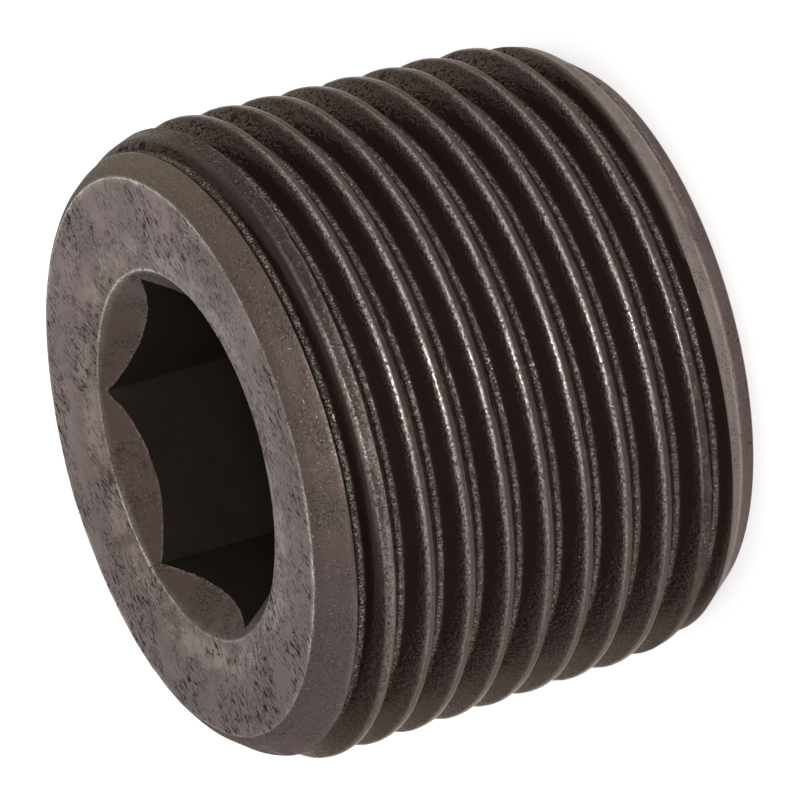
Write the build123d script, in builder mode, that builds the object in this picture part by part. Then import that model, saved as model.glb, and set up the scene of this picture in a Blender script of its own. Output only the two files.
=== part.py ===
"""Hex socket pipe plug with a 3/4 inch taper thread, turned and broached from one piece of steel.

The plug stands on its small inner end: the origin is the centre of that end, and +Z runs up the
thread's axis to the socket face, the end that takes the hex key. Sizes are in millimetres.
"""

import os
from math import atan, ceil, cos, degrees, radians, tan

from build123d import *

os.makedirs("parts", exist_ok=True)

INCH = 25.4

# ---- Body: a cone that tapers 1 in 16 on the diameter towards the inner end ----
length = 20.2
large_end_dia = 1.050 * INCH
taper = 1 / 16

# ---- Thread: right-hand, 14 turns to the inch, truncated V with flat crests and roots ----
threads_per_inch = 14
pitch = INCH / threads_per_inch
flank_angle = 30.0
crest_flat = 0.20 * pitch
thread_depth = 0.48 * pitch
first_groove_drop = 1.137  # from the socket face's plane to the groove's middle, above the +X axis

# ---- Ends: a chamfer, then an easing cone that takes the first crests up to full height ----
face_chamfer_width = 1.515
face_chamfer_height = 1.2
face_chamfer_angle = 35.5  # from the axis, as on the inner end
face_ease_height = 2.8
inner_chamfer_width = 1.484
inner_chamfer_height = 1.5
inner_chamfer_angle = 37.0
inner_ease_height = 3.4

# ---- Socket: half-inch hexagon, broached into a drilled pilot hole with a pointed bottom ----
hex_across_flats = 0.5 * INCH
hex_depth = 10.4
broaching_cut = 0.05  # left on each flat by the pilot drill
drill_point_angle = 118.0
mouth_margin = 0.37  # from the hexagon's corners to the mouth's rim
mouth_cone_angle = 94.5
draw_in_width = 2.2  # ring around the mouth where the face sinks a little
draw_in_depth = 0.30

# ---- Sizes that follow from those above ----
cone_half_angle = degrees(atan(taper / 2))
small_end_dia = large_end_dia - length * taper
face_dia = large_end_dia - 2 * face_chamfer_width
face_chamfer_dia = face_dia + 2 * face_chamfer_height * tan(radians(face_chamfer_angle))
inner_face_dia = small_end_dia - 2 * inner_chamfer_width
inner_chamfer_dia = inner_face_dia + 2 * inner_chamfer_height * tan(radians(inner_chamfer_angle))
root_flat = pitch - crest_flat - 2 * thread_depth * tan(radians(flank_angle))
pilot_dia = hex_across_flats - 2 * broaching_cut
pilot_point_height = pilot_dia / 2 / tan(radians(drill_point_angle / 2))
mouth_dia = hex_across_flats / cos(radians(30)) + 2 * mouth_margin
draw_in_dia = mouth_dia + 2 * draw_in_width
hex_floor_z = length - hex_depth
mouth_z = length - draw_in_depth
cone_foot_z = mouth_z - (mouth_dia - pilot_dia) / 2 / tan(radians(mouth_cone_angle / 2))


def crest_radius(z):
    """Radius of the thread's crests at height z."""
    return large_end_dia / 2 - (length - z) * taper / 2


# ---- Threading: the groove is cut in passes, two turns each, on a blank longer than the plug ----
turns_per_pass = 2
turns_below_face = ceil(length / pitch)
passes = ceil((turns_below_face + 2) / turns_per_pass)
spare_stock = first_groove_drop + 2 * pitch
cut_start_z = length - first_groove_drop - turns_below_face * pitch
cutter_height = 1.2 * thread_depth  # stands clear of the crests
cutter_spread = cutter_height * tan(radians(flank_angle))

with BuildPart() as plug_body:
    # Tapered blank with spare stock at both ends
    with BuildSketch(Plane.XZ):
        with BuildLine():
            Polyline(
                (0, -spare_stock),
                (crest_radius(-spare_stock), -spare_stock),
                (crest_radius(length + spare_stock), length + spare_stock),
                (0, length + spare_stock),
                close=True,
            )
        make_face()
    revolve(axis=Axis.Z)

    # Thread groove: the truncated V follows the conical helix, and the crests stay the blank's cone.
    # Each pass starts square to the helix, in the very plane where the one before it ended.
    for thread_pass in range(passes):
        start_z = cut_start_z + thread_pass * turns_per_pass * pitch
        root_radius = crest_radius(start_z) - thread_depth
        with BuildLine() as thread_path:
            Helix(
                pitch=pitch / cos(radians(cone_half_angle)),
                height=turns_per_pass * pitch,
                radius=root_radius,
                center=(0, 0, start_z),
                cone_angle=cone_half_angle,
            )
        with BuildSketch(Plane(thread_path.line @ 0, x_dir=(1, 0, 0), z_dir=thread_path.line % 0)):
            with BuildLine():
                Polyline(
                    (0, -root_flat / 2),
                    (cutter_height, -root_flat / 2 - cutter_spread),
                    (cutter_height, root_flat / 2 + cutter_spread),
                    (0, root_flat / 2),
                    close=True,
                )
            make_face()
        sweep(is_frenet=True, mode=Mode.SUBTRACT)

    # Turned ends: cut to length, chamfered and eased, and the face drawn in towards the mouth
    with BuildSketch(Plane.XZ):
        with BuildLine():
            Polyline(
                (0, 0),
                (inner_face_dia / 2, 0),
                (inner_chamfer_dia / 2, inner_chamfer_height),
                (crest_radius(inner_ease_height), inner_ease_height),
                (crest_radius(length - face_ease_height), length - face_ease_height),
                (face_chamfer_dia / 2, length - face_chamfer_height),
                (face_dia / 2, length),
                (draw_in_dia / 2, length),
                (mouth_dia / 2, mouth_z),
                (0, mouth_z),
                close=True,
            )
        make_face()
    revolve(axis=Axis.Z, mode=Mode.INTERSECT)

    # Countersunk mouth, drilled pilot and drill point in one cut on the axis
    with BuildSketch(Plane.XZ):
        with BuildLine():
            Polyline(
                (0, mouth_z),
                (mouth_dia / 2, mouth_z),
                (pilot_dia / 2, cone_foot_z),
                (pilot_dia / 2, hex_floor_z),
                (0, hex_floor_z - pilot_point_height),
                close=True,
            )
        make_face()
    revolve(axis=Axis.Z, mode=Mode.SUBTRACT)

    # Hexagon socket with two flats square to Y
    with BuildSketch(Plane.XY.offset(hex_floor_z)):
        RegularPolygon(radius=hex_across_flats / 2, side_count=6, major_radius=False)
    extrude(amount=hex_depth, mode=Mode.SUBTRACT)

plug_body.part.label = "plug_body"
export_step(plug_body.part, "parts/plug_body.step")
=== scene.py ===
"""Dressed model of a hex socket pipe plug: threaded side, socket face, bore and studio.

The plug is one closed surface made of helical and round grids. Lengths are in millimetres and
become metres only when a mesh, a camera or a pattern is made. Heights are counted from the small
end, and angles, in degrees unless they are a grid's own, go round the plug's axis from the x axis.
"""

import logging
import math
from dataclasses import dataclass, field
from enum import Enum

import bpy
import numpy as np
from mathutils import Matrix, Vector


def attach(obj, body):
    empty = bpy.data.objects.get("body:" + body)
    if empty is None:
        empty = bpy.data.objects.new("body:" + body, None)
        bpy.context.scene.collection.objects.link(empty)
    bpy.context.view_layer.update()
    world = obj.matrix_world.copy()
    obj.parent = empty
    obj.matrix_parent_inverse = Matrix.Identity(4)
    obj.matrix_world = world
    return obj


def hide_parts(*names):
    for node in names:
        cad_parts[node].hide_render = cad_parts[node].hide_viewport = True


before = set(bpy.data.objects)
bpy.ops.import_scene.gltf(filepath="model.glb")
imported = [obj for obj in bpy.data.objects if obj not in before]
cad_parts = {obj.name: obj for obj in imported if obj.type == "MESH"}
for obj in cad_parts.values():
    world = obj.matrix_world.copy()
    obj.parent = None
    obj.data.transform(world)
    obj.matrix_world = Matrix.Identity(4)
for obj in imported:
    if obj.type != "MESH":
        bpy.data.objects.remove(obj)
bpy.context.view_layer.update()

LOG = logging.getLogger("plug")
MM = 0.001
INCH = 25.4
WHITE = (1.0, 1.0, 1.0, 1.0)
SMOOTH = {"interpolation_type": "SMOOTHSTEP"}

Grid = np.ndarray
Tree = bpy.types.NodeTree
Socket = bpy.types.NodeSocket
Span = tuple[float, float]
Triple = tuple[float, float, float]
Rows = tuple[float, ...]


# ---- helpers ----


def linear_colour(code: str) -> tuple[float, float, float, float]:
    """Linear red, green, blue and an alpha of 1 for an sRGB hex colour such as "#7a6f69"."""
    parts = [int(code[i : i + 2], 16) / 255 for i in (1, 3, 5)]
    return (*(c / 12.92 if c <= 0.04045 else ((c + 0.055) / 1.055) ** 2.4 for c in parts), 1.0)


def per_metre(size_mm: float) -> float:
    """Texture scale at which one feature is size_mm wide on Object coordinates."""
    return 1.0 / (size_mm * MM)


def place_object(name: str, data: bpy.types.ID) -> bpy.types.Object:
    """Put an object in the scene.

    Args:
        name: Its name.
        data: Its mesh, lens or light.

    Returns:
        The object.
    """
    thing = bpy.data.objects.new(name, data)
    bpy.context.scene.collection.objects.link(thing)
    return thing


def add_node(
    tree: Tree, kind: str, settings: dict | None = None, inputs: dict | None = None
) -> bpy.types.Node:
    """Add one node with its settings, constants and links.

    Args:
        tree: Node tree of a material or world.
        kind: Blender's name of the node type.
        settings: Properties of the node.
        inputs: Input name or number, with a constant or the output socket that feeds it.

    Returns:
        The new node.
    """
    node = tree.nodes.new(kind)
    for name, value in (settings or {}).items():
        setattr(node, name, value)
    for key, value in (inputs or {}).items():
        if isinstance(value, Socket):
            tree.links.new(value, node.inputs[key])
        else:
            node.inputs[key].default_value = value
    return node


def soft_min(a: Grid, b: Grid | float, blend: Grid | float) -> Grid:
    """Smaller of two values, with the corner between them rounded by a parabola that is blend wide."""
    return np.minimum(a, b) - np.maximum(blend - np.abs(a - b), 0.0) ** 2 / (4 * blend)


def soft_max(a: Grid, b: Grid | float, blend: Grid | float) -> Grid:
    """Larger of two values, with the same rounding."""
    return -soft_min(-a, -b, blend)


def ramp(x: Grid, start: float, end: float) -> Grid:
    """Smooth step from 0 at start to 1 at end: three times the square less twice the cube."""
    t = np.clip((x - start) / (end - start), 0.0, 1.0)
    return t * t * (3 - 2 * t)


def mix(low: float, high: float, share: Grid) -> Grid:
    """Straight mix of two values: low where the share is 0 and high where it is 1."""
    return low + (high - low) * share


def hump(distance: Grid, spread: float | Grid) -> Grid:
    """Bell of height 1: e to the power of minus half the square of distance over spread."""
    return np.exp(-((distance / spread) ** 2) / 2)


@dataclass
class LatticeNoise:
    """Smooth seeded noise round the plug, made of random values at whole numbers.

    Between the lattice's points the four corner values are mixed by smooth steps in both
    directions. around and across are the cells in each direction, and both close on themselves.
    """

    seed: int
    around: int
    across: int

    def __post_init__(self) -> None:
        """Draw the lattice's values."""
        self.values = np.random.default_rng(self.seed).uniform(-1.0, 1.0, (self.around, self.across))

    def at(self, turn: Grid, place: Grid | float) -> Grid:
        """Read the noise.

        Args:
            turn: Shares of a turn round the axis.
            place: Places in the other direction, in cells.

        Returns:
            Values from -1 to 1.
        """
        u = turn * self.around
        iu, iv = np.floor(u).astype(int), np.floor(place).astype(int)
        fu, fv = ramp(u - iu, 0.0, 1.0), ramp(place - iv, 0.0, 1.0)
        a, b, c, d = (
            self.values[(iu + i) % self.around, (iv + j) % self.across] for j in (0, 1) for i in (0, 1)
        )
        return (a * (1 - fu) + b * fu) * (1 - fv) + (c * (1 - fu) + d * fu) * fv


def grid_triangles(grid: Grid) -> Grid:
    """Two triangles, each a row of three point numbers, for each square of a grid of such numbers."""
    a, b, c, d = grid[:-1, :-1], grid[:-1, 1:], grid[1:, 1:], grid[1:, :-1]
    return np.concatenate([np.stack(three, -1).reshape(-1, 3) for three in ((a, b, c), (a, c, d))])


def fan_triangles(ring: Grid, pole: int) -> Grid:
    """Triangles from each side of a closed ring of point numbers to one pole."""
    return np.stack([ring, np.roll(ring, -1), np.full_like(ring, pole)], -1)


# ---- forms ----


class Region(Enum):
    """Parts of the plug's surface, each with a finish of its own, in slot order."""

    SIDE = 0
    FACE = 1
    BORE = 2
    INNER_END = 3


@dataclass
class Patch:
    """A grid round the axis, with one row per step of the profile and one column per angle.

    marks says how strongly each kind of wear, tone or painted light and shade counts at each point.
    """

    radii: Grid
    heights: Grid
    marks: dict[str, Grid] = field(default_factory=dict)


@dataclass(frozen=True)
class ThreadForm:
    """Section of the taper thread: a V groove with a flat crest and root.

    The die drags metal over the crest's edge on the socket side, so that edge is rounder than the
    one on the inner side. Rows stand close where the section bends and far apart on the flanks.
    """

    pitch: float = INCH / 14
    crest_share: float = 0.20
    depth_share: float = 0.57
    flank_angle: float = 30.0
    socket_side_rounding: float = 0.11
    inner_side_rounding: float = 0.08
    root_rounding: float = 0.10
    socket_side_rows: Rows = (-0.475, -0.455, -0.435, -0.415, -0.4, -0.38, -0.36, -0.34, -0.27, -0.19, -0.115)
    root_rows: Rows = (-0.085, -0.05, 0.0, 0.05, 0.085)
    inner_side_rows: Rows = (0.115, 0.21, 0.31, 0.374, 0.392, 0.41, 0.43, 0.5)

    @property
    def groove_half_width(self) -> float:
        """Half of the groove's width at the crests."""
        return self.pitch * (1 - self.crest_share) / 2

    def depth_at(self, offset: Grid) -> Grid:
        """Depth below the crests at a distance along the axis from the groove's middle.

        The flank is a straight line that falls from the groove's rim at the flank angle. It is
        held between nought and the full depth, with the corners rounded.

        Args:
            offset: Distances towards the socket face.

        Returns:
            Depths.
        """
        flank = (self.groove_half_width - np.abs(offset)) / math.tan(math.radians(self.flank_angle))
        held = soft_min(flank, self.depth_share * self.pitch, self.root_rounding)
        rounding = np.where(offset < 0, self.socket_side_rounding, self.inner_side_rounding)
        return soft_max(held, 0.0, rounding)

    def rows(self) -> Grid:
        """Places of the grid's rows over one turn, in pitches from the groove's middle."""
        return np.array(self.socket_side_rows + self.root_rows + self.inner_side_rows)


@dataclass(frozen=True)
class EndForm:
    """One end of the plug: a rounded edge, a chamfer, and an easing cone up to full crests."""

    edge_dia: float
    chamfer_height: float
    chamfer_angle: float
    ease_rise: float
    rounding: float
    ridge_blend: float = 0.05

    @property
    def slope(self) -> float:
        """How fast the chamfer's radius grows along the axis."""
        return math.tan(math.radians(self.chamfer_angle))

    def radius(self, rise: Grid, full: float) -> Grid:
        """Radius that the end allows at a distance along the axis from it.

        The smaller of two lines counts: one leaves the end's edge at the chamfer's angle, after a
        parabola that rounds the edge, and the other runs from the chamfer's foot to the full crest.

        Args:
            rise: Distances from the end.
            full: Radius of the crests at the easing cone's end.

        Returns:
            Radii.
        """
        near = np.clip(rise, 0.0, self.rounding)
        along = np.where(rise < self.rounding, np.sqrt(4 * self.rounding * near) - self.rounding, rise)
        foot = self.edge_dia / 2 + self.chamfer_height * self.slope
        ease = (full - foot) / (self.ease_rise - self.chamfer_height)
        eased = foot + (rise - self.chamfer_height) * ease
        return soft_min(self.edge_dia / 2 + along * self.slope, eased, self.ridge_blend)

    def drop(self, radius: Grid) -> Grid:
        """Distance of the rounded edge below the end's plane: a parabola in the radius."""
        along = (radius - self.edge_dia / 2) / self.slope + self.rounding
        return np.maximum(along, 0.0) ** 2 / (4 * self.rounding)


@dataclass(frozen=True)
class Dent:
    """Small knock or burr on the threaded side: a round bump or hollow of a given width."""

    angle: float
    height: float
    along: float
    across: float
    depth: float

    def at(self, angles: Grid, z: Grid, radius: float) -> Grid:
        """Depth taken off at angles in radians on a given radius: a bell, below nought for a burr."""
        turned = np.angle(np.exp(1j * (angles - math.radians(self.angle)))) * radius
        return self.depth * np.exp(-((turned / self.along) ** 2) - ((z - self.height) / self.across) ** 2)


@dataclass(frozen=True)
class Arc:
    """Stretch round the axis that counts fully at its middle and is down to a third at its width."""

    middle: float
    width: float
    height: float = 1.0

    def at(self, angles: Grid) -> Grid:
        """What counts at angles in radians: a bell of the angle from the middle."""
        away = np.degrees(np.angle(np.exp(1j * (angles - math.radians(self.middle)))))
        return self.height * np.exp(-((away / self.width) ** 2))


@dataclass(frozen=True)
class Arcs:
    """Arcs that are added to what counts everywhere, up to 1."""

    least: float
    arcs: tuple[Arc, ...]

    def at(self, angles: Grid) -> Grid:
        """What counts at angles in radians."""
        return np.minimum(self.least + sum(arc.at(angles) for arc in self.arcs), 1.0)


@dataclass(frozen=True)
class Wear:
    """Marks from 0 to 1 that the finishes read: rubbed or torn coat, tone, and painted light and shade.

    A span is the pair of distances at which a mark is 0 and 1, and shares are what counts on the
    far side of the plug and on its lit side, or off an arc and on it.
    """

    lit_side: float = 275.0
    undarkened_side: float = 350.0
    top_arc: Arc = Arc(345.0, 30.0)
    flank_shade_arc: Arc = Arc(316.0, 20.0)
    low_arc: Arc = Arc(200.0, 26.0)
    grit_arc: Arc = Arc(200.0, 24.0)
    hem_arc: Arc = Arc(205.0, 45.0)
    outline_arc: Arc = Arc(240.0, 24.0)
    torn_arcs: Arcs = Arcs(0.06, (Arc(352.0, 19.0, 0.94), Arc(130.0, 32.0, 0.75)))
    rubbed_arcs: Arcs = Arcs(0.30, (Arc(352.0, 44.0), Arc(240.0, 22.0), Arc(110.0, 25.0, 0.7)))

    # Thread
    cut: Span = (-0.04, 0.06)
    flank: Span = (0.0, 0.08)
    edge_inset: float = 0.03
    line_spread: float = 0.055
    line_shares: Span = (0.10, 1.0)
    border_spread: float = 0.0389
    border_shares: Span = (0.12, 0.72)
    border_inner_share: float = 0.4
    flat_shade_shares: Span = (0.30, 1.0)
    flat_top_shade: float = 0.60
    lip: Span = (0.10, 0.55)
    lip_shares: Span = (0.45, 1.0)
    grit_depths: Span = (0.10, 1.0)
    grit: Span = (0.30, 0.0)
    grit_angles: Span = (183.0, 207.0)
    grit_shares: Span = (0.35, 1.0)
    root: Span = (0.22, 0.13)
    torn: Span = (0.06, 0.25)
    torn_side: float = -0.2
    first: Span = (3.0, 2.2)

    # Chamfers
    upper: Span = (2.0, 1.0)
    shoulder: Span = (1.5, 1.8)
    shoulder_foot: Span = (1.9, 2.3)
    land: Span = (2.2, 1.8)
    ridge_line_height: float = 1.02
    ridge_highlight_spread: float = 0.0636
    foot: Span = (0.05, -0.12)

    # Socket face
    outer: Span = (-0.25, -0.22)
    outline_inset: float = 0.22
    outline_wander: float = 0.030
    outline_spreads: Span = (0.038, 0.052)
    mouth_spread: float = 0.035
    chip_middle: float = 0.75
    chip_swing: float = 0.45
    chip_limits: Span = (0.2, 1.0)
    plane: Span = (0.05, -0.05)
    brink_spread: float = 0.06
    cone: Span = (-0.02, 0.10)
    drawn_inset: float = 0.75
    drawn_spread: float = 0.45


# ---- plug ----


@dataclass
class PlugBody:
    """The whole plug: its sizes and the grids that make its surface.

    hold is how far from an end the side's rows stop, names that end in rows say where the round
    grids have their rings, and names that end in row or step say where a noise is read.
    """

    length: float = 20.2
    large_end_dia: float = 1.050 * INCH
    taper: float = 1 / 16
    thread: ThreadForm = ThreadForm()
    first_groove_drop: float = 1.137
    face_end: EndForm = EndForm(23.64, 1.2, 35.5, 2.8, 0.36)
    face_hold: float = 0.28
    inner_end: EndForm = EndForm(22.44, 1.5, 37.0, 3.4, 0.15)
    inner_hold: float = 0.10
    chamfer_blend: float = 0.06
    hex_across_flats: float = 0.5 * INCH
    hex_depth: float = 10.4
    pilot_dia: float = 12.6
    drill_point_angle: float = 118.0
    mouth_dia: float = 15.4
    mouth_cone_angle: float = 94.5
    mouth_rounding: float = 0.05
    draw_in_dia: float = 19.8
    draw_in_depth: float = 0.30
    draw_in_bend: float = 1.25
    draw_in_limit: float = 1.3

    # Unevenness
    crest_edge_spread: float = 0.08
    chatter_depth: float = 0.014
    chatter_step: float = 7.3
    burr_depth: float = 0.012
    burr_step: float = 3.7
    thread_wave_depth: float = 0.010
    end_wave_depth: float = 0.006
    side_wave_length: float = 1.7
    face_wave_depth: float = 0.016
    face_waves_per_mm: float = 1.3
    face_edge_wander: float = 0.018
    mouth_wander: float = 0.02
    lip_row: float = 3.5
    hex_wander: float = 0.022
    hex_row: float = 9.5
    hex_nick: Arc = Arc(62.0, 2.2, 0.11)
    hex_torn_share: float = 0.05

    columns: int = 294
    face_edge_rows: Rows = (
        -0.11, -0.07, -0.02, 0.04, 0.10, 0.15, 0.19, 0.22, 0.25, 0.29, 0.5, 0.9, 1.5, 1.9, 2.5, 3.1
    )
    turned_rings: int = 8
    mouth_rows: Rows = (0.45, 0.20, 0.10, 0.06, 0.03, 0.0, -0.03, -0.06)
    cone_rings: int = 7
    cone_crowding: float = 0.9
    wall_rows: Rows = (0.004, 0.02, 0.05, 0.2, 0.45, 0.7, 0.9, 1.0)
    point_rows: Rows = (1.0, 0.75, 0.5, 0.25, 0.06)
    inner_edge_rows: Rows = (-0.04, 0.02, 0.08, 0.2)
    inner_end_radii: Rows = (9.6, 7.6, 5.6, 3.6, 1.6, 0.5)
    sharp_angle: float = 38.0

    wear: Wear = Wear()
    dents: tuple[Dent, ...] = (
        Dent(215.4, 13.84, 0.30, 0.30, 0.09),
        Dent(288.2, 3.34, 0.45, 0.25, -0.10),
        Dent(289.0, 1.05, 1.10, 0.22, 0.16),
        Dent(283.0, 0.85, 0.60, 0.18, 0.14),
        Dent(287.6, 0.62, 0.25, 0.15, -0.12),
        Dent(234.0, 2.70, 0.50, 0.12, -0.10),
        Dent(221.0, 2.40, 0.35, 0.12, -0.10),
        Dent(300.0, 17.6, 0.40, 0.20, 0.08),
        Dent(262.0, 12.0, 0.30, 0.16, 0.07),
        Dent(30.0, 9.0, 0.35, 0.22, 0.12),
        Dent(120.0, 6.0, 0.50, 0.25, 0.14),
        Dent(95.0, 15.2, 0.30, 0.20, 0.12),
    )

    def __post_init__(self) -> None:
        """Work out the columns' angles and draw the seeded noises."""
        self.angles = (np.arange(self.columns) * 2 * math.pi / self.columns)[None, :]
        self.turn = self.angles / (2 * math.pi)
        self.chatter_noise = LatticeNoise(11, 90, 97)
        self.burr_noise = LatticeNoise(51, 147, 31)
        self.dent_noise = LatticeNoise(23, 34, 41)
        self.face_noise = LatticeNoise(37, 24, 19)

    @property
    def mouth_slope(self) -> float:
        """Fall of the countersink's cone for each millimetre of radius."""
        return 1 / math.tan(math.radians(self.mouth_cone_angle / 2))

    @property
    def point_depth(self) -> float:
        """Depth of the drilled point below the hexagon's foot."""
        return self.pilot_dia / 2 / math.tan(math.radians(self.drill_point_angle / 2))

    # ---- threaded side ----

    def crest_radius(self, z: Grid | float) -> Grid | float:
        """Radius of the taper at height z."""
        return self.large_end_dia / 2 - (self.length - z) * self.taper / 2

    def end_radius(self, z: Grid) -> Grid:
        """Radius that the two ends allow at height z."""
        top = self.face_end.radius(self.length - z, self.crest_radius(self.length - self.face_end.ease_rise))
        return np.minimum(top, self.inner_end.radius(z, self.crest_radius(self.inner_end.ease_rise)))

    def side_patch(self) -> Patch:
        """Threaded side from the inner end's edge up to the face's edge.

        Rows follow the helix: the height of a row is its place in pitches plus the share of a turn,
        times the pitch, and it is held between the two ends. Two turns more than the length needs
        make sure that rows reach both. The radius is the taper less the groove's depth, and never
        more than the ends allow.

        Returns:
            The side's grid.
        """
        form = self.thread
        turns = math.ceil(self.length / form.pitch) + 2
        places = (np.arange(turns)[:, None] + form.rows()[None, :]).reshape(-1, 1)
        base = self.length - self.first_groove_drop - (turns - 1) * form.pitch
        raw = base + (places + self.turn) * form.pitch
        z = np.clip(raw, self.inner_hold, self.length - self.face_hold)
        offset = (z - base) / form.pitch - self.turn
        offset = (offset - np.round(offset)) * form.pitch

        groove = np.floor((raw - base) / form.pitch - self.turn + 0.5)
        side = np.sign(offset)
        chatter = self.chatter_noise.at(self.turn, groove * self.chatter_step + side)
        burr = self.burr_noise.at(self.turn, groove * self.burr_step + side)
        wave = self.dent_noise.at(self.turn, z / self.side_wave_length)
        ripple = self.chatter_depth * (1 + chatter) + self.burr_depth * (1 + burr)
        edges = hump(np.abs(offset) - form.groove_half_width, self.crest_edge_spread)

        cut_depth = form.depth_at(offset)
        threaded = self.crest_radius(z) - (cut_depth + edges * ripple + self.thread_wave_depth * (1 + wave))
        ends = self.end_radius(z) - self.end_wave_depth * (1 + wave)
        radius = soft_min(threaded, ends, self.chamfer_blend)
        for dent in self.dents:
            radius = radius - dent.at(self.angles, z, self.large_end_dia / 2)
        return Patch(radius, z, self.side_marks(z, offset, cut_depth, ends - threaded))

    def side_marks(self, z: Grid, offset: Grid, depth: Grid, room: Grid) -> dict[str, Grid]:
        """Marks of the threaded side.

        Args:
            z: Heights.
            offset: Distances from the groove's middle towards the socket face.
            depth: Depths of the groove below the crests.
            room: How far the thread lies below the radius that the ends allow.

        Returns:
            One grid for each mark.
        """
        wear, angles = self.wear, self.angles
        below_face, above_ridge_line = self.length - z, z - wear.ridge_line_height
        facing = np.maximum(np.cos(angles - math.radians(wear.lit_side)), 0.0)
        shine = facing**3
        top, low = wear.top_arc.at(angles), wear.low_arc.at(angles)
        cut = ramp(room, *wear.cut)
        plain = 1 - cut
        edge = ramp(depth, *wear.flank)
        flank, crest = edge * cut, (1 - edge) * cut
        socket_flank = flank * (offset < 0)
        line = hump(offset + self.thread.groove_half_width + wear.edge_inset, wear.line_spread) * cut
        border = hump(room + wear.edge_inset, wear.border_spread) * (z > self.length / 2)
        border = border * np.where(offset < 0, 1.0, wear.border_inner_share)
        lip = 1 - ramp(depth, *wear.lip) * (1 - low)
        reach = mix(*wear.grit_depths, wear.grit_arc.at(angles))
        grit = ramp(depth - reach, *wear.grit) * ramp(np.degrees(angles), *wear.grit_angles)
        torn = (offset < wear.torn_side) * wear.torn_arcs.at(angles)
        upper = plain * ramp(below_face, *wear.upper)
        lines = line * mix(*wear.line_shares, shine)
        return {
            # rim: bare steel flecks on the crests' edges and the chamfer's border, made stronger on the lit
            # side as a painted highlight
            "rim": np.maximum(lines, border * mix(*wear.border_shares, shine)),
            "crest": crest,
            # flat: painted shade on the crests' flats, strongest on the lit side and at the top
            "flat": crest * np.minimum(mix(*wear.flat_shade_shares, shine) + wear.flat_top_shade * top, 1.0),
            "flank": flank,
            "lip": socket_flank * lip * mix(*wear.lip_shares, low),
            # grit: grain on the socket-side flanks whose hollows take painted shade, most on the lit side
            "grit": socket_flank * grit * mix(*wear.grit_shares, np.sqrt(facing)),
            # Painted shade on the socket-side flanks round one arc
            "dusk": socket_flank * wear.flank_shade_arc.at(angles),
            # Painted light: paler at the top of the chamfer by the face
            "crown": upper * top,
            "hem": upper * wear.hem_arc.at(angles),
            "nap": line * mix(*wear.line_shares, facing**2),
            # Painted shade on the flanks of the grooves by the face
            "first": flank * ramp(below_face, *wear.first),
            # root: painted glint flecks and painted shade in the ripples of the groove's root
            "root": cut * ramp(np.abs(offset), *wear.root),
            "torn": cut * ramp(depth, *wear.torn) * torn,
            "turned": plain,
            "shoulder": plain * ramp(below_face, *wear.shoulder) * ramp(z, *wear.shoulder_foot),
            "land": plain * ramp(z, *wear.land),
            # Painted highlight: a bright line round the inner chamfer
            "ridge": plain * hump(above_ridge_line, wear.ridge_highlight_spread),
            "foot": plain * ramp(above_ridge_line, *wear.foot),
        }

    # ---- round patches ----

    def hex_radius(self) -> Grid:
        """Distance to the hexagon: half its size over the cosine of the angle from a flat's middle."""
        turned = np.mod(self.angles, math.pi / 3) - math.pi / 6
        return self.hex_across_flats / 2 / np.cos(turned)

    def torn_hex_radius(self) -> Grid:
        """The hexagon's edge in the countersink: the broach left it uneven and nicked a corner."""
        uneven = self.hex_wander * self.burr_noise.at(self.turn, self.hex_row)
        return self.hex_radius() + uneven + self.hex_nick.at(self.angles)

    def face_patch(self) -> Patch:
        """Face ring and countersink, from the rounded outer edge in to the hexagon's wall.

        The face is flat outside and sinks smoothly within the draw-in circle. The cone's height
        falls with the radius at the countersink's slope, and where it meets the face the smaller of
        the two counts, with a rounded corner.

        Returns:
            The face's grid.
        """
        edge, rim = self.face_end.edge_dia / 2, self.mouth_dia / 2
        fixed = np.concatenate([edge - np.array(self.face_edge_rows), rim + np.array(self.mouth_rows)])
        wall = self.torn_hex_radius()
        steps = np.linspace(0, 1, self.cone_rings + 1)[1:, None] ** self.cone_crowding
        cone = fixed[-1] + (wall - fixed[-1]) * steps
        radii = np.concatenate([np.repeat(fixed[:, None], self.columns, axis=1), cone])

        lip = self.burr_noise.at(self.turn, self.lip_row)
        wave = self.face_noise.at(self.turn, radii * self.face_waves_per_mm)
        drop = self.face_end.drop(radii + self.face_edge_wander * (1 + lip))
        inward = (self.draw_in_dia / 2 - radii) / (self.draw_in_dia / 2 - rim)
        sunk = self.draw_in_depth * np.clip(inward, 0.0, self.draw_in_limit) ** self.draw_in_bend
        face = self.length - sunk - self.face_wave_depth * (1 + wave) - drop
        fallen = (rim + self.mouth_wander * lip - radii) * self.mouth_slope
        mouth = self.length - self.draw_in_depth - fallen
        heights = soft_min(face, mouth, self.mouth_rounding)
        return Patch(radii, heights, self.face_marks(radii, wall, lip))

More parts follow.
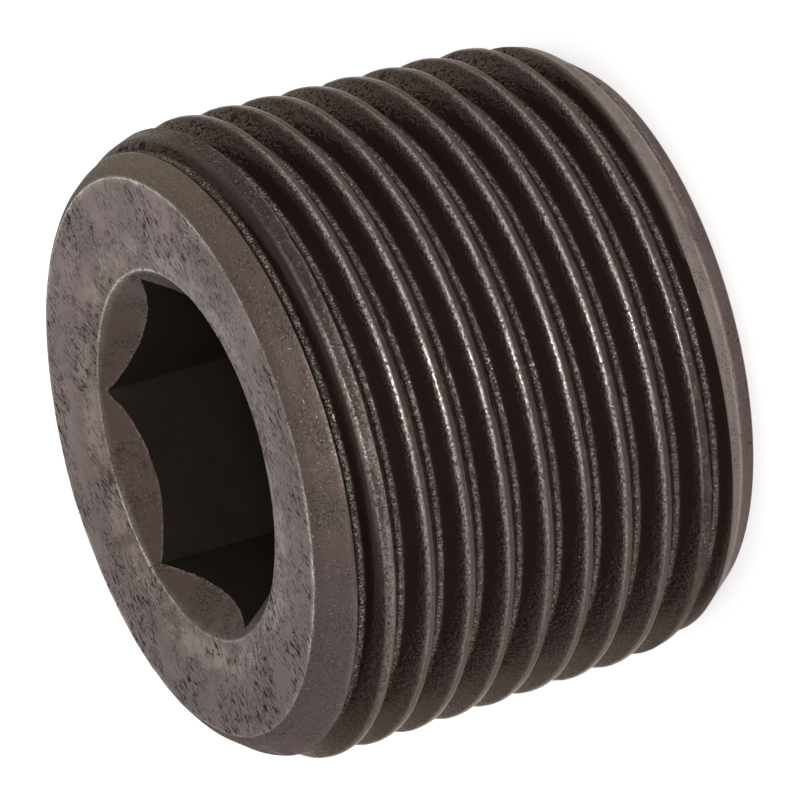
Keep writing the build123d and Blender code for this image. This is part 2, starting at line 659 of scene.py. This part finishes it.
    def face_marks(self, radii: Grid, wall: Grid, lip: Grid) -> dict[str, Grid]:
        """Marks of the socket face and its countersink.

        Args:
            radii: Distances from the axis.
            wall: Radius of the hexagon's edge at each column.
            lip: Noise of the edges at each column, from -1 to 1.

        Returns:
            One grid for each mark.
        """
        wear, angles = self.wear, self.angles
        edge, rim = self.face_end.edge_dia / 2, self.mouth_dia / 2
        spread = mix(*wear.outline_spreads, wear.outline_arc.at(angles))
        outline = hump(radii - edge + wear.outline_inset + wear.outline_wander * lip, spread)
        mouth = hump(radii - rim, wear.mouth_spread)
        chips = np.clip(wear.chip_middle + wear.chip_swing * lip, *wear.chip_limits)
        outer = ramp(radii - edge, *wear.outer)
        inside = rim - radii
        dull = 0.5 - 0.5 * np.cos(angles - math.radians(wear.undarkened_side))
        return {
            "rim": np.maximum(outline, mouth) * wear.rubbed_arcs.at(angles) * chips,
            "plane": ramp(inside, *wear.plane) * (1 - outer),
            "turned": outer,
            # Painted light: paler at the top of the outer ring
            "crown": outer * wear.top_arc.at(angles),
            "hem": outer * wear.hem_arc.at(angles),
            # Darker the further round the face is from one side
            "dull": np.broadcast_to(dull, radii.shape),
            "brink": hump(radii - wall, wear.brink_spread),
            "cone": ramp(inside, *wear.cone),
            # Painted sheen: a paler ring on the drawn-in slope round the mouth
            "drawn": hump(inside + wear.drawn_inset, wear.drawn_spread),
        }

    def bore_patch(self) -> Patch:
        """Hexagon walls, the step at their foot and the drilled point, which ends in a pole.

        The walls start at the hexagon's torn edge and are true a little way down.

        Returns:
            The bore's grid.
        """
        wall, torn = self.hex_radius(), self.torn_hex_radius()
        top = self.length - self.draw_in_depth - (self.mouth_dia / 2 - wall) * self.mouth_slope
        foot = self.length - self.hex_depth
        share = np.array(self.wall_rows)[:, None]
        walls = wall + (torn - wall) * np.clip(1 - share / self.hex_torn_share, 0.0, 1.0)
        inward = np.array(self.point_rows)[:, None] * np.ones_like(wall)
        radii = np.concatenate([walls, inward * self.pilot_dia / 2])
        heights = np.concatenate([top + (foot - top) * share, foot - (1 - inward) * self.point_depth])
        return Patch(radii, heights)

    def inner_end_patch(self) -> Patch:
        """Flat inner end, from its rounded edge in to the pole.

        Returns:
            The inner end's grid.
        """
        near_edge = self.inner_end.edge_dia / 2 - np.array(self.inner_edge_rows)
        radii = np.concatenate([near_edge, self.inner_end_radii])[:, None] * np.ones_like(self.angles)
        return Patch(radii, self.inner_end.drop(radii))

    # ---- mesh ----

    def held_rows(self, ids: Grid, z: Grid) -> Grid:
        """Let the side's rows that are held at an end all stand for that end's one ring.

        Args:
            ids: Point numbers of the side's grid.
            z: Heights of its points.

        Returns:
            The point numbers that count.
        """
        top_row = (z < self.length - self.face_hold).sum(axis=0).clip(max=len(z) - 1)
        low_row = (z <= self.inner_hold).sum(axis=0) - 1
        rows = np.clip(np.arange(len(z))[:, None], low_row, top_row)
        return np.take_along_axis(ids, rows, axis=0)

    def strips(self, ids: list[Grid]) -> list[tuple[Grid, Region]]:
        """Grids of point numbers that cover the plug, apart from its two poles.

        Where the side's columns meet after a turn, each row goes on in the row one turn higher, so
        that the grid closes as a helix. The face's outer rings have the side's finish.

        Args:
            ids: Point numbers of the side, the face, the bore and the inner end.

        Returns:
            Each grid with the part of the surface that it belongs to.
        """
        side, face, bore, end = ids
        turn = len(self.thread.rows())
        padded = np.pad(side, ((turn, turn), (0, 0)), mode="edge")
        helix = np.concatenate([padded[:-turn], padded[turn:, :1]], axis=1)
        rounds = [
            (np.concatenate([side[-1:], face[: self.turned_rings]]), Region.SIDE),
            (face[self.turned_rings - 1 :], Region.FACE),
            (np.concatenate([face[-1:], bore]), Region.BORE),
            (np.concatenate([end[::-1], side[:1]]), Region.INNER_END),
        ]
        closed = [(np.concatenate([grid, grid[:, :1]], axis=1), region) for grid, region in rounds]
        return [(helix, Region.SIDE), *closed]

    def build(self, finishes: dict[Region, bpy.types.Material]) -> bpy.types.Object:
        """Weld the patches into one closed mesh and dress it.

        Args:
            finishes: Material of each region.

        Returns:
            The plug's object, at the origin, in metres.
        """
        stack = [self.side_patch(), self.face_patch(), self.bore_patch(), self.inner_end_patch()]
        starts = np.cumsum([0] + [patch.radii.size for patch in stack])
        ids = [start + np.arange(p.radii.size).reshape(p.radii.shape) for start, p in zip(starts, stack)]
        ids[0] = self.held_rows(ids[0], stack[0].heights)
        poles = np.array([[0.0, 0.0, self.length - self.hex_depth - self.point_depth], [0.0, 0.0, 0.0]])
        cos, sin = np.cos(self.angles), np.sin(self.angles)
        grids = [np.stack([p.radii * cos, p.radii * sin, p.heights], -1) for p in stack]
        points = np.concatenate([grid.reshape(-1, 3) for grid in grids] + [poles])

        parts = [(grid_triangles(grid), region) for grid, region in self.strips(ids)]
        parts.append((fan_triangles(ids[2][-1], starts[-1]), Region.BORE))
        parts.append((fan_triangles(ids[3][-1], starts[-1] + 1)[:, ::-1], Region.INNER_END))
        faces = np.concatenate([triangles for triangles, _ in parts])
        kinds = np.concatenate([np.full(len(triangles), region.value) for triangles, region in parts])
        whole = (faces != np.roll(faces, 1, axis=1)).all(axis=1)
        used, faces = np.unique(faces[whole], return_inverse=True)

        mesh = bpy.data.meshes.new("plug")
        mesh.from_pydata(points[used] * MM, [], faces.reshape(-1, 3))
        for material in finishes.values():
            mesh.materials.append(material)
        mesh.polygons.foreach_set("material_index", kinds[whole].astype(np.int32))
        for name in sorted({name for patch in stack for name in patch.marks}):
            values = [p.marks.get(name, np.zeros(p.radii.shape)).ravel() for p in stack]
            values = np.concatenate([*values, np.zeros(len(poles))])[used]
            layer = mesh.attributes.new(name, "FLOAT", "POINT")
            layer.data.foreach_set("value", values.astype(np.float32))
        mesh.update()
        mesh.shade_smooth()
        mesh.set_sharp_from_angle(angle=math.radians(self.sharp_angle))
        plug = place_object("plug", mesh)
        LOG.info("plug: %d triangles", len(mesh.polygons))
        return plug


# ---- finishes ----


class Lay(Enum):
    """Coordinates on which a pattern is drawn."""

    PLAIN = "the object's own"
    AROUND = "moved straight out from the axis to one cylinder"


Places = dict[Lay, Socket]


@dataclass(frozen=True)
class Pattern:
    """Noise of one real size, drawn out in one direction and cut to a mask from 0 to 1.

    size is the width of one feature in millimetres, stretch says how many times longer it is along
    each axis, turn is how far those axes stand round the plug's own in degrees, and the mask rises
    from 0 at the noise value low to 1 at high.
    """

    size: float
    low: float = 0.35
    high: float = 0.65
    stretch: Triple = (1.0, 1.0, 1.0)
    turn: float = 0.0
    shift: float = 0.0
    detail: float = 2.5
    roughness: float = 0.55
    warp: float = 0.0
    lay: Lay = Lay.PLAIN

    def mask(self, tree: Tree, places: Places) -> Socket:
        """Add the pattern's nodes.

        Args:
            tree: Node tree of the material.
            places: Output of each kind of coordinates, in metres.

        Returns:
            The mask's output.
        """
        placing = {
            "Vector": places[self.lay],
            "Location": (self.shift * MM, 0.0, 0.0),
            "Rotation": (0.0, 0.0, math.radians(self.turn)),
            "Scale": self.stretch,
        }
        look = {
            "Vector": add_node(tree, "ShaderNodeMapping", {"vector_type": "TEXTURE"}, placing).outputs[0],
            "Scale": per_metre(self.size),
            "Detail": self.detail,
            "Roughness": self.roughness,
            "Distortion": self.warp,
        }
        noise = add_node(tree, "ShaderNodeTexNoise", inputs=look).outputs["Fac"]
        limits = {"Value": noise, "From Min": self.low, "From Max": self.high}
        return add_node(tree, "ShaderNodeMapRange", SMOOTH, limits).outputs["Result"]


@dataclass(frozen=True)
class Layer:
    """Something that lies on part of the surface.

    mark names the mesh's mark that limits it, patches is a soft pattern that limits it further, and
    share is how much of it is left where both are full.
    """

    mark: str = ""
    patches: Pattern | None = None
    share: float = 1.0

    def area(self, tree: Tree, places: Places) -> Socket | float:
        """Share, from 0 to 1, by which the layer counts at each point.

        Args:
            tree: Node tree of the material.
            places: Output of each kind of coordinates, in metres.

        Returns:
            The share, or the output that gives it.
        """
        factors = []
        if self.mark:
            mark = {"attribute_name": self.mark}
            factors.append(add_node(tree, "ShaderNodeAttribute", mark).outputs["Fac"])
        if self.patches is not None:
            factors.append(self.patches.mask(tree, places))
        area = self.share
        for factor in factors:
            pair = {0: area, 1: factor}
            area = add_node(tree, "ShaderNodeMath", {"operation": "MULTIPLY"}, pair).outputs[0]
        return area


@dataclass(frozen=True)
class Tint(Layer):
    """Change of colour, and of roughness if one is given."""

    colour: str = "#000000"
    roughness: float | None = None


@dataclass(frozen=True)
class Relief(Layer):
    """Hollows of one pattern, with their depth in millimetres and how much painted shade darkens them."""

    pattern: Pattern = Pattern(0.1)
    depth: float = 0.01
    shade: float = 0.0


@dataclass(frozen=True)
class OxideSteel:
    """Steel with a black oxide coat: a dim brownish metal with a soft gloss.

    The coat is only a micron thick, so it keeps the marks of the tool below it. It is greyer where
    it is thin and browner where it is thick, and it rubs through on sharp edges, where steel shows
    as bright flecks. Seen edge-on it takes the paler colour called edge, and the hollows of its
    reliefs are darkened towards a dark colour as painted shade.
    """

    name: str
    coat: str = "#605552"
    hollow_shade: str = "#2b2420"
    edge: str = "#ccc4be"
    metallic: float = 0.94
    roughness: float = 0.28
    cylinder_radius: float = 12.6
    tints: tuple[Tint, ...] = ()
    reliefs: tuple[Relief, ...] = ()

    def places(self, tree: Tree) -> Places:
        """Add both kinds of coordinates.

        Those drawn round the plug keep their height, and their distance from the axis becomes the
        cylinder's radius.

        Args:
            tree: Node tree of the material.

        Returns:
            Output of each kind, in metres.
        """
        reach = self.cylinder_radius * MM
        own = add_node(tree, "ShaderNodeTexCoord").outputs["Object"]
        flat = {0: own, 1: (1.0, 1.0, 0.0)}
        level = add_node(tree, "ShaderNodeVectorMath", {"operation": "MULTIPLY"}, flat)
        aim = add_node(tree, "ShaderNodeVectorMath", {"operation": "NORMALIZE"}, {0: level.outputs[0]})
        upright = {0: own, 1: (0.0, 0.0, 1.0)}
        rise = add_node(tree, "ShaderNodeVectorMath", {"operation": "MULTIPLY"}, upright)
        moved = {0: aim.outputs[0], 1: (reach, reach, 0.0), 2: rise.outputs[0]}
        around = add_node(tree, "ShaderNodeVectorMath", {"operation": "MULTIPLY_ADD"}, moved)
        return {Lay.PLAIN: own, Lay.AROUND: around.outputs[0]}

    def material(self) -> bpy.types.Material:
        """Build the material: tints first, then reliefs, which darken their hollows as painted shade.

        In a mix node, inputs 2 and 3 are its numbers, and inputs 6 and 7 and output 2 its colours.

        Returns:
            The finished material.
        """
        material = bpy.data.materials.new(self.name)
        material.use_nodes = True
        tree = material.node_tree
        tree.nodes.clear()
        places = self.places(tree)
        colours = {"data_type": "RGBA"}
        look = {
            "Base Color": linear_colour(self.coat),
            "Metallic": self.metallic,
            "Roughness": self.roughness,
            "Specular Tint": linear_colour(self.edge),
        }
        for tint in self.tints:
            area = tint.area(tree, places)
            paint = {0: area, 6: look["Base Color"], 7: linear_colour(tint.colour)}
            look["Base Color"] = add_node(tree, "ShaderNodeMix", colours, paint).outputs[2]
            if tint.roughness is not None:
                gloss = {0: area, 2: look["Roughness"], 3: tint.roughness}
                look["Roughness"] = add_node(tree, "ShaderNodeMix", inputs=gloss).outputs[0]
        for relief in self.reliefs:
            height = relief.pattern.mask(tree, places)
            area = relief.area(tree, places)
            # Painted shade: each relief's hollows are darkened in base colour and edge tint; on broad
            # patterns such as the face's clouds this reads as an uneven tone
            if relief.shade:
                low = {0: relief.shade, 1: height}
                hollow = add_node(tree, "ShaderNodeMath", {"operation": "SUBTRACT"}, low).outputs[0]
                product = {"operation": "MULTIPLY", "use_clamp": True}
                dark = add_node(tree, "ShaderNodeMath", product, {0: hollow, 1: area}).outputs[0]
                for socket in ("Base Color", "Specular Tint"):
                    paint = {0: dark, 6: look[socket], 7: linear_colour(self.hollow_shade)}
                    look[socket] = add_node(tree, "ShaderNodeMix", colours, paint).outputs[2]
            bump = {"Height": height, "Strength": area, "Distance": relief.depth * MM}
            if "Normal" in look:
                bump["Normal"] = look["Normal"]
            look["Normal"] = add_node(tree, "ShaderNodeBump", inputs=bump).outputs["Normal"]
        shader = add_node(tree, "ShaderNodeBsdfPrincipled", inputs=look)
        add_node(tree, "ShaderNodeOutputMaterial", inputs={"Surface": shader.outputs[0]})
        return material


# Black oxide on a cut thread: grain, chatter and torn metal, most of them drawn round the plug
BLOTCHES = Pattern(0.30, 0.20, 0.50, lay=Lay.AROUND)
CREST_RIPPLE = Pattern(0.08, 0.25, 0.75, stretch=(1.8, 1.8, 1.0), lay=Lay.AROUND)
ROOT_GLINT_FLECKS = Pattern(0.065, 0.45, 0.58, stretch=(1.0, 1.0, 1.6), warp=0.8, lay=Lay.AROUND)
ROOT_RIPPLE = Pattern(0.065, 0.32, 0.62, stretch=(1.0, 1.0, 1.6), warp=0.8, lay=Lay.AROUND)
TURNED_PITS = Pattern(0.11, 0.34, 0.56, warp=0.6)
TORN_METAL = Pattern(0.18, 0.36, 0.56, stretch=(1.9, 1.9, 0.9), detail=1.5, warp=1.0)

# Forged face: pits drawn out across it
CONE_PITS = Pattern(0.12, 0.34, 0.52, warp=0.6)
FINE_PITS = Pattern(0.11, 0.35, 0.46, stretch=(2.4, 1.0, 1.0), turn=22.0, warp=1.0)
DEEP_PITS = Pattern(0.15, 0.35, 0.45, stretch=(2.8, 1.0, 1.0), turn=24.0, detail=1.5, warp=0.8)


@dataclass(frozen=True)
class ThreadSteel(OxideSteel):
    """Black oxide on a die-cut thread: glossy, with bright crest lines, torn flanks, rippled roots and
    painted light and shade.
    """

    name: str = "black oxide on die-cut steel"
    metallic: float = 0.90
    roughness: float = 0.18
    tints: tuple[Tint, ...] = (
        Tint("", Pattern(2.2, 0.40, 0.66, detail=3.0), 0.5, "#54463f"),
        Tint("flank", None, 0.85, "#544944"),
        # Painted shade on the flanks of the grooves by the face
        Tint("first", None, 0.75, "#3f3530"),
        # Painted shade on the crests' flats, strongest on the lit side and at the top
        Tint("flat", BLOTCHES, 0.95, "#3f3532"),
        # The chamfers were turned, which leaves them paler and duller than the thread
        Tint("turned", Pattern(1.8, 0.05, 0.55, detail=3.0), 1.0, "#73645c", 0.62),
        Tint("shoulder", BLOTCHES, 0.95, "#463c3a", 0.30),
        # Painted light: the chamfer by the face is paler at the top
        Tint("crown", None, 0.8, "#867a6b"),
        Tint("hem", None, 0.8, "#716466"),
        Tint("turned", Pattern(0.10, 0.68, 0.76, detail=1.0), 0.6, "#cbbfb2", 0.30),
        # Painted shade on the socket-side flanks round one arc
        Tint("dusk", None, 0.5, "#382f2a"),
        Tint("land", None, 0.8, "#8c807d", 0.34),
        Tint("foot", None, 0.8, "#5f5253"),
        # Painted highlights: a bright line round the inner chamfer and glint flecks in the roots;
        # on the crests' edges, bare steel flecks that are made stronger on the lit side
        Tint("ridge", Pattern(0.10, 0.25, 0.52), 0.85, "#b3a79e", 0.24),
        Tint("rim", Pattern(0.08, 0.3, 0.6, stretch=(1.6, 1.6, 1.0), lay=Lay.AROUND), 0.95, "#d8cdc5", 0.24),
        Tint("root", ROOT_GLINT_FLECKS, 0.80, "#9b918b", 0.26),
    )
    reliefs: tuple[Relief, ...] = (
        # Grain of 0.03 mm is too fine to show at this size, so it is drawn at 0.08 mm
        Relief("lip", None, 1.0, Pattern(0.075, 0.53, 0.70, lay=Lay.AROUND), 0.036),
        Relief("nap", None, 1.0, Pattern(0.075, 0.48, 0.72, lay=Lay.AROUND), 0.012),
        Relief("crest", None, 1.0, CREST_RIPPLE, 0.006, 0.35),
        # The root, grit and torn reliefs put painted shade in their hollows, as dark specks and creases
        Relief("root", None, 1.0, ROOT_RIPPLE, 0.030, 0.60),
        Relief("grit", None, 1.0, Pattern(0.085, 0.40, 0.58, detail=1.5, lay=Lay.AROUND), 0.030, 0.62),
        Relief("torn", None, 1.0, TORN_METAL, 0.110, 0.55),
        Relief("turned", None, 1.0, Pattern(0.10, 0.28, 0.72, warp=0.4), 0.010, 0.30),
        Relief("turned", Pattern(1.6, 0.36, 0.58, shift=3.0), 1.0, TURNED_PITS, 0.025, 0.45),
    )


@dataclass(frozen=True)
class FaceSteel(OxideSteel):
    """Black oxide on a forged face: grey-brown, with fine pits in patches, all drawn out the same way."""

    name: str = "black oxide on forged steel"
    coat: str = "#857370"
    hollow_shade: str = "#2b2321"
    edge: str = "#ffffff"
    roughness: float = 0.36
    tints: tuple[Tint, ...] = (
        Tint("", Pattern(3.0, 0.40, 0.60, detail=4.0), 0.8, "#6e5e59"),
        # Darker the further round the face is from one side
        Tint("dull", None, 0.85, "#65554f"),
        # Painted sheen: a paler ring on the drawn-in slope round the mouth
        Tint("drawn", Pattern(1.3, 0.40, 0.58, detail=3.0), 0.70, "#a3938d", 0.34),
        Tint("cone", None, 0.75, "#65554e", 0.34),
        # Bare steel shows on the outer edge, the countersink's rim and the hexagon's edge
        Tint("rim", Pattern(0.12, 0.34, 0.50), 1.0, "#f0e6de", 0.32),
        Tint("brink", Pattern(0.15, 0.45, 0.62), 0.5, "#a79b92", 0.30),
    )
    reliefs: tuple[Relief, ...] = (
        # Grain of 0.03 mm is too fine to show at this size, so it is drawn at 0.10 mm
        Relief("", None, 1.0, Pattern(0.10, 0.25, 0.75), 0.008, 0.10),
        Relief("", None, 1.0, Pattern(0.60, 0.25, 0.75, detail=4.0), 0.012, 0.22),
        # Painted shade darkens the pits' hollows
        Relief("plane", Pattern(2.2, 0.38, 0.52), 1.0, FINE_PITS, 0.060, 0.46),
        Relief("plane", Pattern(2.8, 0.46, 0.56, shift=7.0), 1.0, DEEP_PITS, 0.15, 0.66),
        Relief("cone", Pattern(1.6, 0.40, 0.60, shift=5.0), 1.0, CONE_PITS, 0.030, 0.42),
    )


@dataclass(frozen=True)
class BoreSteel(OxideSteel):
    """Black oxide in a broached socket: a duller coat, darkened as painted shade, with fine lines down the
    walls.
    """

    name: str = "black oxide in a broached socket, painted dark for shade"
    # Painted shade: the coat is darkened so that the socket shows black
    coat: str = "#3c342e"
    metallic: float = 0.80
    roughness: float = 0.70
    tints: tuple[Tint, ...] = (Tint("", Pattern(2.0, 0.40, 0.66, detail=3.0), 0.6, "#372f29"),)
    reliefs: tuple[Relief, ...] = (
        Relief("", None, 1.0, Pattern(0.14, 0.30, 0.70, stretch=(1.0, 1.0, 9.0)), 0.008, 0.12),
    )


# ---- studio ----


@dataclass(frozen=True)
class ViewPoint:
    """Camera placed by where the socket face's centre lies in the picture.

    Yaw and pitch turn the plug's axis in the camera's own axes, and roll turns the plug about that
    axis. The picture is frame_px square, and the sensor's side is in millimetres.
    """

    yaw: float = 24.4125
    pitch: float = 14.3649
    roll: float = -8.854
    face_u: float = 178.474
    face_v: float = 457.658
    px_per_radius: float = 332.243
    distance_radii: float = 60.0
    frame_px: int = 800
    sensor: float = 36.0
    clip_metres: Span = (0.01, 50.0)

    def build(self, radius: float, face_z: float) -> None:
        """Place the camera and make it the scene's own.

        Args:
            radius: Radius of the plug's large end.
            face_z: Height of the socket face.
        """
        yaw, pitch, roll = (math.radians(x) for x in (self.yaw, self.pitch, self.roll))
        flat = math.cos(pitch)
        inward = np.array([flat * math.cos(yaw), -math.sin(pitch), flat * math.sin(yaw)])
        second = np.array([math.sin(yaw), 0.0, -math.cos(yaw)])
        first = np.cross(second, inward)
        x_axis = math.cos(roll) * first + math.sin(roll) * second
        y_axis = math.sin(roll) * first - math.cos(roll) * second
        axes = np.stack([x_axis, y_axis, -inward])
        offset = np.array([self.face_u, self.face_v]) - self.frame_px / 2
        face = np.append(offset / self.px_per_radius, self.distance_radii)
        place = np.array([0.0, 0.0, face_z]) - axes @ face * radius

        # The camera looks down its own negative z axis, with y up
        turned = np.column_stack([axes * (1.0, -1.0, -1.0), place * MM])
        lens = bpy.data.cameras.new("camera")
        lens.sensor_width = self.sensor
        lens.lens = self.px_per_radius * self.distance_radii * self.sensor / self.frame_px
        lens.clip_start, lens.clip_end = self.clip_metres
        camera = place_object("camera", lens)
        camera.matrix_world = Matrix([*turned.tolist(), (0.0, 0.0, 0.0, 1.0)])
        bpy.context.scene.camera = camera


@dataclass(frozen=True)
class Studio:
    """White tent round the plug: a pale floor, a bright panel at the rear and one lamp by the camera.

    floor_share, rear and front are strengths of light, and the two spans are cosines: of the angle
    from the middle of the tent to its sides, and of the angle from the camera. Places and sizes are
    in metres, and the lamp's power is in watts.
    """

    floor_size: float = 6.0
    floor_colour: str = "#f4f4f4"
    floor_share: float = 0.60
    rear: float = 0.86
    front: float = 0.52
    towards_camera: Triple = (-0.039, -0.916, 0.400)
    sideways: Triple = (0.999, -0.043, 0.0)
    side_span: Span = (0.20, 0.60)
    rear_span: Span = (-0.5, 0.35)
    lamp_place: Triple = (-0.025, -0.59, 0.29)
    lamp_target: Triple = (0.0, 0.0, 0.010)
    lamp_size: float = 0.15
    lamp_power: float = 1.20

    def floor(self) -> None:
        """Large square at the plug's base, white where the plug doesn't shade it."""
        half = self.floor_size / 2
        corners = [(-half, -half, 0), (half, -half, 0), (half, half, 0), (-half, half, 0)]
        mesh = bpy.data.meshes.new("floor")
        mesh.from_pydata(corners, [], [(0, 1, 2, 3)])
        material = bpy.data.materials.new("pale studio floor")
        material.use_nodes = True
        tree = material.node_tree
        tree.nodes.clear()
        path = add_node(tree, "ShaderNodeLightPath").outputs
        either = {"operation": "ADD", "use_clamp": True}
        seen = add_node(tree, "ShaderNodeMath", either, {0: path["Is Camera Ray"], 1: path["Is Glossy Ray"]})
        rays = {0: seen.outputs[0], 1: path["Is Transmission Ray"]}
        shown = add_node(tree, "ShaderNodeMath", either, rays)
        share = {0: shown.outputs[0], 1: self.floor_share}
        glow = add_node(tree, "ShaderNodeMath", {"operation": "MULTIPLY"}, share)
        matt = add_node(tree, "ShaderNodeBsdfDiffuse", inputs={"Color": linear_colour(self.floor_colour)})
        lit = add_node(tree, "ShaderNodeEmission", inputs={"Color": WHITE, "Strength": glow.outputs[0]})
        both = add_node(tree, "ShaderNodeAddShader", inputs={0: matt.outputs[0], 1: lit.outputs[0]})
        add_node(tree, "ShaderNodeOutputMaterial", inputs={"Surface": both.outputs[0]})
        mesh.materials.append(material)
        floor = place_object("floor", mesh)

    def world(self) -> None:
        """Light from all round: brightest in a band behind the plug, dimmer at the sides and in front."""
        world = bpy.data.worlds.new("tent")
        bpy.context.scene.world = world
        world.use_nodes = True
        tree = world.node_tree
        tree.nodes.clear()
        way = add_node(tree, "ShaderNodeTexCoord").outputs["Generated"]
        product = {"operation": "DOT_PRODUCT"}
        facing, across = (
            add_node(tree, "ShaderNodeVectorMath", product, {0: way, 1: aim}).outputs["Value"]
            for aim in (self.towards_camera, self.sideways)
        )
        aside = add_node(tree, "ShaderNodeMath", {"operation": "ABSOLUTE"}, {0: across}).outputs[0]
        level = self.rear
        for value, span in ((aside, self.side_span), (facing, self.rear_span)):
            limits = {"Value": value, "From Min": span[0], "From Max": span[1]}
            strengths = {"To Min": level, "To Max": self.front}
            level = add_node(tree, "ShaderNodeMapRange", SMOOTH, limits | strengths).outputs["Result"]
        sky = add_node(tree, "ShaderNodeBackground", inputs={"Color": WHITE, "Strength": level})
        add_node(tree, "ShaderNodeOutputWorld", inputs={"Surface": sky.outputs[0]})

    def lamp(self) -> None:
        """Square soft lamp beside the camera that faces the plug's middle."""
        data = bpy.data.lights.new("lamp beside the camera", "AREA")
        data.shape = "SQUARE"
        data.size = self.lamp_size
        data.energy = self.lamp_power
        lamp = place_object("lamp beside the camera", data)
        aim = Vector(self.lamp_target) - Vector(self.lamp_place)
        lamp.location = self.lamp_place
        lamp.rotation_euler = aim.to_track_quat("-Z", "Y").to_euler()

    def build(self) -> None:
        """Set up floor, world and lamp."""
        self.floor()
        self.world()
        self.lamp()


def main() -> None:
    """Build the camera, the plug and the studio in order."""
    logging.basicConfig(level=logging.INFO, format="%(name)s: %(message)s")
    body = PlugBody()
    ViewPoint().build(body.large_end_dia / 2, body.length)
    LOG.info("camera placed")
    finishes = {
        Region.SIDE: ThreadSteel().material(),
        Region.FACE: FaceSteel().material(),
        Region.BORE: BoreSteel().material(),
        Region.INNER_END: FaceSteel(name="black oxide on a turned end", roughness=0.34).material(),
    }
    plug = body.build(finishes)
    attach(plug, "root")
    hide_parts("plug_body")
    LOG.info("plug dressed")
    Studio().build()
    LOG.info("studio ready")
    bpy.context.scene.view_settings.view_transform = "Standard"


if __name__ == "__main__":
    main()
